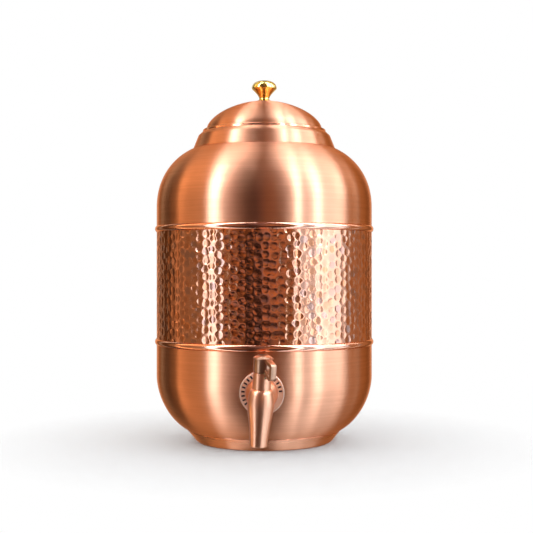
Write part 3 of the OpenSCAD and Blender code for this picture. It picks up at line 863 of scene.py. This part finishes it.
@dataclass
class Lid:
    """The lift-off lid: a domed shell with a stepped skirt, a ring inside and a turned knob."""

    wall: float = 1.0 * MM
    skirt_round: float = 2.0 * MM
    slope_width: float = 4.2 * MM
    slope_height: float = 5.1 * MM
    skirt_flare: float = 4.3 * MM
    ledge_width: float = 2.4 * MM
    ledge_round: float = 0.5 * MM
    groove_round: float = 1.2 * MM
    riser: float = 1.9 * MM
    riser_out: float = 0.7 * MM
    riser_round: float = 0.35 * MM
    ring_edge: float = 0.3 * MM
    dome: Bulge = Bulge(48.6 * MM, 24.7 * MM, 1.75)
    dome_lean: float = 0.4 * MM
    dome_rise: float = 3.0 * MM
    knob_land: float = 0.5 * MM
    screw_hole: float = 2.2 * MM
    knob_base: float = 8.2 * MM
    knob_neck: float = 4.15 * MM
    knob_flare: float = 2.4 * MM
    knob_trumpet: float = 8.1 * MM
    knob_curve: float = 1.5
    knob_rim: float = 0.5 * MM
    knob_rim_from: float = -50.0
    knob_fullness: float = 2.35
    flare_steps: int = 8
    trumpet_steps: int = 16
    knob_steps: int = 96
    steps: int = 256

    def __post_init__(self) -> None:
        """Read the lid's main heights and radii off the frame."""
        low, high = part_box("lid_shell")
        self.rim = high.x
        self.rim_z = low.z
        self.ledge_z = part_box("lid_ring")[1].z + self.wall
        self.knob_low, self.knob_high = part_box("lid_knob")
        self.skirt_r = self.rim - self.skirt_flare
        self.skirt_z = self.ledge_z - self.slope_height

    def build(self) -> None:
        """Model and dress every piece of the lid."""
        self.build_shell()
        self.build_ring()
        self.build_knob()

    def build_shell(self) -> None:
        """Spin the skirt, the ledge and the dome."""
        ledge_r = self.skirt_r - self.slope_width
        dome_r = ledge_r - self.ledge_width
        base = self.knob_low.z
        seat_r = self.knob_base + self.knob_land
        skirt = rounded([(self.rim, self.rim_z), (self.skirt_r, self.skirt_z, self.skirt_round),
                         (ledge_r + self.riser_out, self.ledge_z - self.riser, self.riser_round),
                         (ledge_r + self.riser_out / 2.0, self.ledge_z, self.ledge_round),
                         (dome_r, self.ledge_z, self.groove_round),
                         (dome_r - self.dome_lean, self.ledge_z + self.dome_rise)], steps=8)
        dome = self.dome.path((0.0, self.ledge_z), 0.0, self.dome.angle_at(seat_r), steps=40)
        above = [p for p in dome if p[1] > skirt[-1][1]]
        shell = spun("lid_dome", [*skirt[:-1], *above, (self.screw_hole, base)], self.steps)
        thicken(shell, self.wall)
        burnish(shell, self.ledge_z - self.riser - self.ledge_round, self.ledge_z + self.ledge_round)
        smooth(shell)
        fit(shell, Body.LID, SATIN_COPPER, "lid_shell")

    def build_ring(self) -> None:
        """Spin the ring that centres the lid in the mouth."""
        low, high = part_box("lid_ring")
        edge = self.ring_edge
        inside = high.x - self.wall
        outline = rounded([(inside, high.z), (inside, low.z, edge), (high.x, low.z, edge),
                           (high.x, high.z)], steps=4)
        ring = spun("lid_collar", outline, self.steps, closed=True)
        smooth(ring)
        fit(ring, Body.LID, SATIN_COPPER, "lid_ring")

    def build_knob(self) -> None:
        """Spin the knob: a flared base, a trumpet and a domed cap with a thin rim."""
        widest = self.knob_high.x
        low, high = self.knob_low.z, self.knob_high.z
        swell = widest - self.knob_neck
        spread = self.knob_base - self.knob_neck
        waist = low + self.knob_flare
        cap = waist + self.knob_trumpet
        flare = [(self.knob_neck + spread * (1.0 - math.sin(a)), waist - self.knob_flare * math.cos(a))
                 for a in (QUARTER * i / self.flare_steps for i in range(self.flare_steps))]
        trumpet = [(self.knob_neck + swell * (i / self.trumpet_steps) ** self.knob_curve,
                    waist + self.knob_trumpet * i / self.trumpet_steps) for i in range(self.trumpet_steps)]
        rim = arc((widest - self.knob_rim, cap + self.knob_rim), self.knob_rim, self.knob_rim_from, 0.0,
                  steps=6)
        crown = Bulge(widest, high - rim[-1][1], self.knob_fullness)
        top = crown.path((0.0, rim[-1][1]), 0.0, QUARTER)
        knob = spun("brass_knob", [(0.0, low), *flare, *trumpet, *rim, *top[1:]], self.knob_steps)
        smooth(knob)
        fit(knob, Body.LID, POLISHED_BRASS, "lid_knob")


# Tap


@dataclass(frozen=True)
class TapPlace:
    """Where the tap sits: on the bowl's wall, a little tilted, with the post at its end."""

    azimuth: float = -1.0
    pitch: float = 5.0
    roll: float = 3.3
    reach: float = 40.0 * MM
    handle_azimuth: float = 31.0

    def post(self) -> Matrix:
        """Return the frame of the spout and handle, with the post along Z."""
        hinge = next(j for j in frame["joints"] if j["name"] == "tap_turn")
        turn = (Matrix.Rotation(math.radians(self.azimuth), 4, "Z")
                @ Matrix.Rotation(math.radians(self.pitch), 4, "X")
                @ Matrix.Rotation(math.radians(self.roll), 4, "Y"))
        return Matrix.Translation(hinge["pos_m"]) @ turn

    def shank(self) -> Matrix:
        """Return the frame of the shank, with Z outwards from the wall."""
        back = Matrix.Translation((0.0, self.reach, 0.0))
        return self.post() @ back @ Matrix.Rotation(math.radians(90.0), 4, "X")

    def handle(self) -> Matrix:
        """Return the frame of the handle, with the lever along -Y."""
        return self.post() @ Matrix.Rotation(math.radians(self.handle_azimuth), 4, "Z")


TAP_PLACE = TapPlace()


@dataclass
class Tap:
    """The tap that stays still: body with spout and collar, and the plate on the wall."""

    shank: float = 8.0 * MM
    shank_clear: float = 0.15 * MM
    shank_in: float = 16.0 * MM
    passage: float = 3.5 * MM
    plate_front: float = 3.7 * MM
    bell: float = 12.5 * MM
    bell_rim: float = 1.2 * MM
    bell_end: float = 19.0 * MM
    arm: float = 7.4 * MM
    arm_swell: float = 1.3 * MM
    arm_swell_from: float = 27.0 * MM
    barrel: float = 9.8 * MM
    barrel_drop: float = 1.0 * MM
    barrel_rise: float = 10.5 * MM
    outlet: float = 6.45 * MM
    taper_start: float = 1.2
    taper_end: float = 1.5
    spout_drop: float = 31.5 * MM
    lip: float = 0.8 * MM
    water_way: float = 4.5 * MM
    collar: float = 6.75 * MM
    collar_bore: float = 5.25 * MM
    collar_rise: float = 22.6 * MM
    collar_edge: float = 0.3 * MM
    collar_foot: float = 1.2 * MM
    notch: float = 3.7 * MM
    notch_from: float = 14.4
    notch_to: float = 137.6
    cut_over: float = 2.0 * MM
    liner_half: float = 7.5 * MM
    plate: float = 17.0 * MM
    plate_back: float = 1.5 * MM
    plate_rim: float = 1.1 * MM
    plate_rim_height: float = 0.6 * MM
    plate_edge: float = 0.25 * MM
    tick_gaps: int = 17
    tick_from: float = -140.0
    tick_to: float = 80.0
    tick_inner: float = 13.0 * MM
    tick_outer: float = 15.6 * MM
    tick_width: float = 1.3 * MM
    tick_proud: float = 0.08 * MM
    tick_edge: float = 0.04 * MM
    curve_steps: int = 20
    taper_steps: int = 24
    swell_steps: int = 10
    notch_steps: int = 8
    steps: int = 96

    def build(self) -> None:
        """Model and dress the body, the plate and its ticks."""
        self.build_body()
        self.build_plate()
        self.build_ticks()

    def build_body(self) -> None:
        """Join the spout, the arm and the shank, then bore and notch them."""
        body = spun("tap_casting", self.spout_outline(), self.steps)
        move(body, TAP_PLACE.post())
        arm = spun("arm", self.arm_outline(), self.steps)
        combine(body, move(arm, TAP_PLACE.shank()), "UNION")
        combine(body, self.hollow_tool(), "DIFFERENCE")
        smooth(body)
        fit(body, Body.VESSEL, TAP_COPPER, "tap_body")

    def spout_outline(self) -> list[Point]:
        """Draw the collar, the shoulder and the tapered spout."""
        top = rounded([(0.0, self.collar_rise), (self.collar, self.collar_rise, self.collar_edge),
                       (self.collar, self.barrel_rise + self.collar_foot)], steps=4)
        fall = self.barrel_rise + self.barrel_drop
        shoulder = [(self.collar + (self.barrel - self.collar) * math.sin(a),
                     -self.barrel_drop + fall * math.cos(a))
                    for a in (QUARTER * i / self.curve_steps for i in range(self.curve_steps + 1))]
        run = self.spout_drop - self.barrel_drop - self.lip
        spare = self.barrel - self.outlet
        taper = [(self.outlet + spare * (1.0 - s ** self.taper_start) ** self.taper_end,
                  -self.barrel_drop - run * s)
                 for s in (i / self.taper_steps for i in range(1, self.taper_steps))]
        lip = arc((self.outlet - self.lip, self.lip - self.spout_drop), self.lip, 0.0, -90.0, steps=6)
        return [*top, *shoulder, *taper, *lip, (0.0, -self.spout_drop)]

    def arm_outline(self) -> list[Point]:
        """Draw the shank, the bell and the arm that swells into the spout."""
        run = self.bell_end - self.plate_front - self.bell_rim
        bell = [(self.arm + (self.bell - self.arm) * (1.0 + math.cos(math.pi * i / self.curve_steps)) / 2.0,
                 self.plate_front + self.bell_rim + run * i / self.curve_steps)
                for i in range(self.curve_steps + 1)]
        swell_run = TAP_PLACE.reach - self.arm_swell_from
        swell = [(self.arm + self.arm_swell * (i / self.swell_steps) ** 2,
                  self.arm_swell_from + swell_run * i / self.swell_steps)
                 for i in range(self.swell_steps + 1)]
        foot = rounded([(self.shank, self.plate_front), (self.bell, self.plate_front, self.collar_edge),
                        (self.bell, self.plate_front + self.bell_rim)], steps=4)
        return [(0.0, -self.shank_in), (self.shank, -self.shank_in), *foot[:-1], *bell, *swell,
                (0.0, TAP_PLACE.reach)]

    def hollow_tool(self) -> bpy.types.Object:
        """Join everything that is cut out of the body: passage, bores and notch."""
        over = self.cut_over
        passage = rod("passage", self.passage, -self.shank_in - over, TAP_PLACE.reach + over)
        tool = move(passage, TAP_PLACE.shank())
        bore = rod("bore", self.collar_bore, -self.liner_half, self.collar_rise + over)
        water_way = rod("water_way", self.water_way, -self.spout_drop - over, over - self.liner_half)
        for cut in (bore, water_way, self.notch_tool()):
            combine(tool, move(cut, TAP_PLACE.post()), "UNION")
        return tool

    def notch_tool(self) -> bpy.types.Object:
        """Make the wedge that cuts the stop pin's notch out of the collar.

        Returns:
            The wedge, upright on the post's axis.
        """
        low = self.collar_rise - self.notch
        height = self.notch + self.cut_over
        reach = 2.0 * self.collar
        span = self.notch_to - self.notch_from
        bearings = [math.radians(self.notch_from + span * i / self.notch_steps)
                    for i in range(self.notch_steps + 1)]
        fan = [(0.0, 0.0, low), *((reach * math.sin(a), -reach * math.cos(a), low) for a in bearings),
               (0.0, 0.0, low)]
        wedge = draw("notch", fan)
        bpy.ops.mesh.remove_doubles(threshold=MERGE_DISTANCE)
        bpy.ops.mesh.edge_face_add()
        bpy.ops.mesh.extrude_region_move(TRANSFORM_OT_translate={"value": (0.0, 0.0, height)})
        tidy()
        return wedge

    def build_plate(self) -> None:
        """Spin the round plate with its raised rim."""
        face = self.plate_front
        crest = face + self.plate_rim_height
        edge = self.plate_edge
        inner = self.shank + self.shank_clear
        outline = rounded([(inner, self.plate_back), (self.plate, self.plate_back, edge),
                           (self.plate, crest, edge), (self.plate - self.plate_rim, crest, edge),
                           (self.plate - self.plate_rim, face, edge), (inner, face)], steps=4)
        plate = spun("tap_escutcheon", outline, self.steps, closed=True)
        move(plate, TAP_PLACE.shank())
        smooth(plate)
        fit(plate, Body.VESSEL, PLATE_COPPER, "tap_plate")

    def build_ticks(self) -> None:
        """Set enamelled ticks around the plate's face, as on a plain dial."""
        length = self.tick_outer - self.tick_inner
        middle = (self.tick_inner + self.tick_outer) / 2.0
        bits = []
        for i in range(self.tick_gaps + 1):
            put_down()
            bpy.ops.mesh.primitive_cube_add(size=1.0)
            tick = named(f"tick_{i}")
            tick.scale = (self.tick_width, length, 2.0 * self.tick_proud)
            tick.location = (0.0, middle, self.plate_front)
            bpy.ops.object.transform_apply(location=True, rotation=True, scale=True)
            bearing = self.tick_from + (self.tick_to - self.tick_from) * i / self.tick_gaps
            bits.append(move(tick, TAP_PLACE.shank() @ Matrix.Rotation(math.radians(-bearing), 4, "Z")))
        put_down()
        for tick in bits:
            tick.select_set(True)
        bpy.context.view_layer.objects.active = bits[0]
        bpy.ops.object.join()
        ticks = named("dial_ticks")
        modify(ticks, "BEVEL", width=self.tick_edge, segments=2)
        smooth(ticks)
        fit(ticks, Body.VESSEL, BLACK_ENAMEL)


@dataclass
class Handle:
    """The quarter-turn handle: a hub with a crown and a looped lever."""

    hub: float = 6.8 * MM
    hub_low: float = 23.2 * MM
    hub_height: float = 9.4 * MM
    rim_out: float = 0.5 * MM
    rim_height: float = 0.8 * MM
    crown: float = 2.8 * MM
    crown_ease: float = 0.6
    stem: float = 3.0 * MM
    stem_play: float = 0.3 * MM
    edge: float = 0.25 * MM
    screw: float = 1.5 * MM
    lever_reach: float = 15.8 * MM
    lever_width: float = 4.6 * MM
    lever_thick: float = 2.8 * MM
    lever_root: float = 5.0 * MM
    lever_rise: float = 0.8 * MM
    lever_fall: float = 5.3 * MM
    lever_dip: float = 0.7
    lever_bury: float = 0.5 * MM
    lever_front: float = 13.4 * MM
    lever_round: float = 2.9 * MM
    lever_edge: float = 0.35 * MM
    lever_edge_angle: float = 50.0
    heel_gap: float = 0.6 * MM
    steps: int = 96

    def __post_init__(self) -> None:
        """Work out the heights of the hub's top and crown."""
        self.hub_top = self.hub_low + self.hub_height
        self.crown_top = self.hub_top + self.rim_height + self.crown

    def build(self) -> None:
        """Model and dress the hub and the lever."""
        self.build_hub()
        self.build_lever()

    def build_hub(self) -> None:
        """Spin the hub, bore it for the stem and drill it for its set screw."""
        rim = self.hub + self.rim_out
        dome = (rim ** 2 + self.crown ** 2) / (2.0 * self.crown)
        sweep = math.degrees(math.asin((rim - self.edge) / dome))
        stem_top = self.hub_top - self.stem_play
        rim_top = self.hub_top + self.rim_height
        side = rounded([(self.stem, self.hub_low), (self.hub, self.hub_low, self.edge),
                        (self.hub, self.hub_top), (rim, self.hub_top, self.edge), (rim, rim_top, self.edge),
                        (rim - self.edge * 2.0, rim_top + self.edge * self.crown_ease)], steps=4)
        crown = arc((0.0, self.crown_top - dome), dome, 90.0 - sweep, 90.0, steps=16)
        top = [p for p in crown if p[0] < side[-1][0]]
        hub = spun("hub", [(0.0, stem_top), (self.stem, stem_top), *side, *top], self.steps)
        middle = (self.hub_low + self.hub_top) / 2.0
        drill = rod("drill", self.screw, -2.0 * self.hub, 0.0, sides=32)
        across = Matrix.Translation((0.0, 0.0, middle)) @ Matrix.Rotation(math.radians(90.0), 4, "X")
        combine(hub, move(drill, across), "DIFFERENCE")
        move(hub, TAP_PLACE.handle())
        smooth(hub)
        fit(hub, Body.HANDLE, HANDLE_BRONZE, "handle_hub")

    def build_lever(self) -> None:
        """Bend the lever's strap from the crown to the front and back to the hub's heel."""
        front_top = self.crown_top - self.lever_fall
        half = self.lever_thick / 2.0
        reach = self.lever_reach - half
        heel = self.hub_low + self.heel_gap + half
        bend = self.lever_round - half
        shoulder = self.hub_top + self.rim_height + self.lever_rise - half
        strap = rounded([(self.lever_root, shoulder),
                         (reach, front_top - half * self.lever_dip, bend),
                         (reach, front_top - self.lever_front + half, bend),
                         (self.hub - self.lever_bury, heel)], steps=8)
        lever = draw("lever", [(-self.lever_width / 2.0, -r, z) for r, z in strap])
        bpy.ops.mesh.extrude_edges_move(TRANSFORM_OT_translate={"value": (self.lever_width, 0.0, 0.0)})
        tidy()
        modify(lever, "SOLIDIFY", thickness=self.lever_thick, offset=0.0, use_even_offset=True)
        modify(lever, "BEVEL", width=self.lever_edge, segments=3, limit_method="ANGLE",
               angle_limit=math.radians(self.lever_edge_angle))
        move(lever, TAP_PLACE.handle())
        smooth(lever, angle=40.0)
        fit(lever, Body.HANDLE, HANDLE_BRONZE, "handle_lever")


# Pieces that keep their CAD shape


@dataclass(frozen=True)
class InnerWorks:
    """The seals, fasteners and valve pieces, which keep their CAD shape and get their finish."""

    finishes: tuple[tuple[CastFinish, tuple[str, ...]], ...] = (
        (BLACK_RUBBER, ("outer_seal", "inner_seal", "packing_rings")),
        (ZINC_STEEL, ("lock_washer", "lock_nut", "retaining_ring", "knob_screw", "knob_washer")),
        (HANDLE_BRONZE, ("stop_pin", "set_screw")),
        (TURNED_BRASS, ("valve_plug",)),
        (WHITE_LINER, ("valve_liner",)))

    def dress(self) -> None:
        """Put each finish on its nodes."""
        for finish, nodes in self.finishes:
            for node in nodes:
                Paint.coat(frame["nodes"][node], finish)
                LOG.info("%s: %s", node, finish.name)


# Studio


DAYLIGHT: Colour = (0.74, 1.14, 1.74)
WARM: Colour = (1.0, 0.80, 0.56)
EMBER: Colour = (1.0, 0.58, 0.32)
DUSK: Colour = (0.66, 0.60, 0.80)


@dataclass(frozen=True)
class Panel:
    """One upright section of the light tent, curved in over the object.

    Bearings are degrees to the right of the camera's side, seen from above the object. A section has one
    radiance above the level of the eye, one at that level and one below, and a mottled one has patches in
    two colours. One that goes past the zenith is an arch, and comes down on the other side.
    """

    name: str
    start: float
    end: float
    glow: float
    waist: float
    foot: float
    colour: Colour = WARM
    distance: float = 1.4
    low: float = -88.0
    high: float = 88.0
    patches: Colour | None = None


@dataclass
class Studio:
    """A pale floor, a white surround, a tent of soft panels and the camera."""

    camera_distance: float = 925.0 * MM
    camera_height: float = 145.9 * MM
    camera_aside: float = 1.9 * MM
    lens: float = 74.3
    floor_radius: float = 0.24
    floor_clear: float = 0.055
    floor_fade: float = 0.35
    floor_colour: Colour = (0.29, 0.20, 0.14)
    floor_rough: float = 0.9
    floor_drop: float = 0.05 * MM
    floor_sides: int = 96
    world: float = 1.0
    tent_middle: float = 0.15
    above_eye: Point = (10.0, 22.0)
    below_eye: Point = (-10.0, -20.0)
    arch: float = 110.0
    rise_step: float = 6.0
    turn_step: float = 4.0
    least_turns: int = 4
    patch_scale: tuple[float, float, float] = (1.6, 1.6, 4.0)
    patch_detail: float = 2.0
    patch_span: Point = (0.42, 0.62)
    patch_glow: Point = (0.04, 1.0)
    hue_shift: tuple[float, float, float] = (3.0, 1.0, 2.0)
    hue_scale: float = 2.0
    hue_span: Point = (0.45, 0.60)
    panels: tuple[Panel, ...] = (
        Panel("tent_cloth", -180.0, 180.0, 0.32, 0.30, 0.18, distance=1.6),
        Panel("front_flag", -38.0, 23.0, 0.66, 0.66, 0.22, EMBER, 1.5, patches=DUSK),
        Panel("left_edge", -139.0, -132.0, 2.0, 0.5, 0.5, DAYLIGHT),
        Panel("left_flag", -130.0, -114.0, 0.12, 0.10, 0.08, distance=1.45),
        Panel("left_rim", -102.0, -97.0, 5.0, 0.8, 3.6),
        Panel("left_fill", -103.0, -64.0, 1.2, 0.32, 0.70, distance=1.5),
        Panel("left_strip", -60.0, -49.0, 15.0, 3.0, 4.0, DAYLIGHT, high=arch),
        Panel("right_strip", 33.0, 39.0, 15.0, 3.2, 4.5, DAYLIGHT, high=arch),
        Panel("right_gap", 39.0, 54.0, 0.5, 1.1, 0.5, DAYLIGHT, 1.5),
        Panel("far_right_strip", 54.0, 62.5, 14.0, 3.4, 4.0, DAYLIGHT, high=arch),
        Panel("right_fill", 62.5, 86.0, 2.3, 2.6, 0.95, DAYLIGHT, 1.5),
        Panel("right_edge", 87.0, 95.5, 9.5, 0.8, 2.8, DAYLIGHT),
        Panel("right_side", 96.0, 135.0, 0.75, 0.45, 0.45, distance=1.5),
        Panel("right_rim", 113.5, 116.5, 5.5, 0.5, 1.6, DAYLIGHT),
        Panel("back_left_strip", -165.0, -150.0, 1.2, 1.0, 0.8),
        Panel("back_right_strip", 150.0, 165.0, 1.2, 1.0, 0.8))

    def build(self) -> None:
        """Set up the world, the floor, the tent and the camera."""
        scene = bpy.context.scene
        scene.view_settings.view_transform = "Standard"
        self.build_world(scene)
        self.build_floor()
        for panel in self.panels:
            self.build_panel(panel)
        self.build_camera(scene)

    def build_world(self, scene: bpy.types.Scene) -> None:
        """Surround the object with plain white.

        Args:
            scene: The scene that gets the world.
        """
        scene.world = bpy.data.worlds.new("white_surround")
        scene.world.use_nodes = True
        background = scene.world.node_tree.nodes["Background"]
        background.inputs["Color"].default_value = (1.0, 1.0, 1.0, 1.0)
        background.inputs["Strength"].default_value = self.world

    def build_floor(self) -> None:
        """Lay the floor: it renders pale, thins out in a fine grain, and metal sees past it to the tent."""
        put_down()
        bpy.ops.mesh.primitive_circle_add(vertices=self.floor_sides, radius=self.floor_radius,
                                          fill_type="NGON", location=(0.0, 0.0, -self.floor_drop))
        floor = named("floor")
        nodes = Nodes("pale_floor")
        away = nodes.vector("LENGTH", nodes.place())
        outwards = nodes.spread(away, (self.floor_clear, self.floor_radius), UNIT)
        grain = nodes.add("ShaderNodeTexWhiteNoise", {"Vector": nodes.place()}).outputs["Value"]
        glossy = nodes.add("ShaderNodeLightPath").outputs["Is Glossy Ray"]
        thin = nodes.maths("MAXIMUM", nodes.maths("POWER", outwards, self.floor_fade), glossy)
        fade = nodes.maths("GREATER_THAN", thin, grain)
        paint = {"Base Color": (*self.floor_colour, 1.0), "Roughness": self.floor_rough}
        solid = nodes.add("ShaderNodeBsdfPrincipled", paint)
        clear = nodes.add("ShaderNodeBsdfTransparent")
        mixed = nodes.add("ShaderNodeMixShader", {0: fade, 1: solid.outputs[0], 2: clear.outputs[0]})
        nodes.add("ShaderNodeOutputMaterial", {"Surface": mixed.outputs[0]})
        floor.data.materials.append(nodes.material)

    def build_panel(self, panel: Panel) -> None:
        """Hang one section of the tent, out of the camera's sight.

        Args:
            panel: Its place, its span and its radiance.
        """
        count = round((panel.high - panel.low) / self.rise_step)
        bearing = math.radians(panel.end)
        rises = (math.radians(panel.low + (panel.high - panel.low) * i / count) for i in range(count + 1))
        rib = [(panel.distance * math.cos(e) * math.sin(bearing),
                -panel.distance * math.cos(e) * math.cos(bearing),
                self.tent_middle + panel.distance * math.sin(e)) for e in rises]
        span = math.radians(panel.end - panel.start)
        sheet = draw(panel.name, rib)
        turns = max(self.least_turns, round(math.degrees(span) / self.turn_step))
        bpy.ops.mesh.spin(steps=turns, angle=span, center=(0.0, 0.0, 0.0), axis=(0.0, 0.0, 1.0))
        tidy(outwards=False)
        sheet.data.materials.append(self.cloth(panel))
        sheet.visible_camera = False

    def cloth(self, panel: Panel) -> bpy.types.Material:
        """Make the glowing cloth of a section.

        Args:
            panel: Its place, its span and its radiance.

        Returns:
            The material.
        """
        nodes = Nodes(panel.name)
        place = nodes.place()
        height = nodes.add("ShaderNodeSeparateXYZ", {0: place}).outputs["Z"]
        above, below = ([self.tent_middle + panel.distance * math.sin(math.radians(e)) for e in span]
                        for span in (self.above_eye, self.below_eye))
        strength = nodes.maths("ADD", nodes.spread(height, below, (0.0, panel.foot - panel.waist)),
                               nodes.spread(height, above, (panel.waist, panel.glow)))
        colour = (*panel.colour, 1.0)
        if panel.patches:
            spots = nodes.noise(nodes.vector("MULTIPLY", place, self.patch_scale), 1.0, self.patch_detail)
            hues = nodes.noise(nodes.vector("ADD", place, self.hue_shift), self.hue_scale, self.patch_detail)
            mottle = nodes.spread(spots, self.patch_span, self.patch_glow)
            strength = nodes.maths("MULTIPLY", strength, mottle)
            colour = nodes.mix(nodes.spread(hues, self.hue_span, UNIT), panel.colour, panel.patches)
        glow = nodes.add("ShaderNodeEmission", {"Color": colour, "Strength": strength})
        nodes.add("ShaderNodeOutputMaterial", {"Surface": glow.outputs[0]})
        return nodes.material

    def build_camera(self, scene: bpy.types.Scene) -> None:
        """Put the camera level in front of the tap.

        Args:
            scene: The scene that it belongs to.
        """
        data = bpy.data.cameras.new("camera")
        data.lens = self.lens
        data.dof.use_dof = False
        camera = bpy.data.objects.new("camera", data)
        camera.location = (self.camera_aside, -self.camera_distance, self.camera_height)
        camera.rotation_euler = (math.radians(90.0), 0.0, 0.0)
        scene.collection.objects.link(camera)
        scene.camera = camera


def main() -> None:
    """Build the object and its studio in order."""
    logging.basicConfig(level=logging.INFO, format="%(message)s")
    Vessel().build()
    HammeredBand().build()
    Lid().build()
    Tap().build()
    Handle().build()
    InnerWorks().dress()
    Studio().build()


if __name__ == "__main__":
    main()
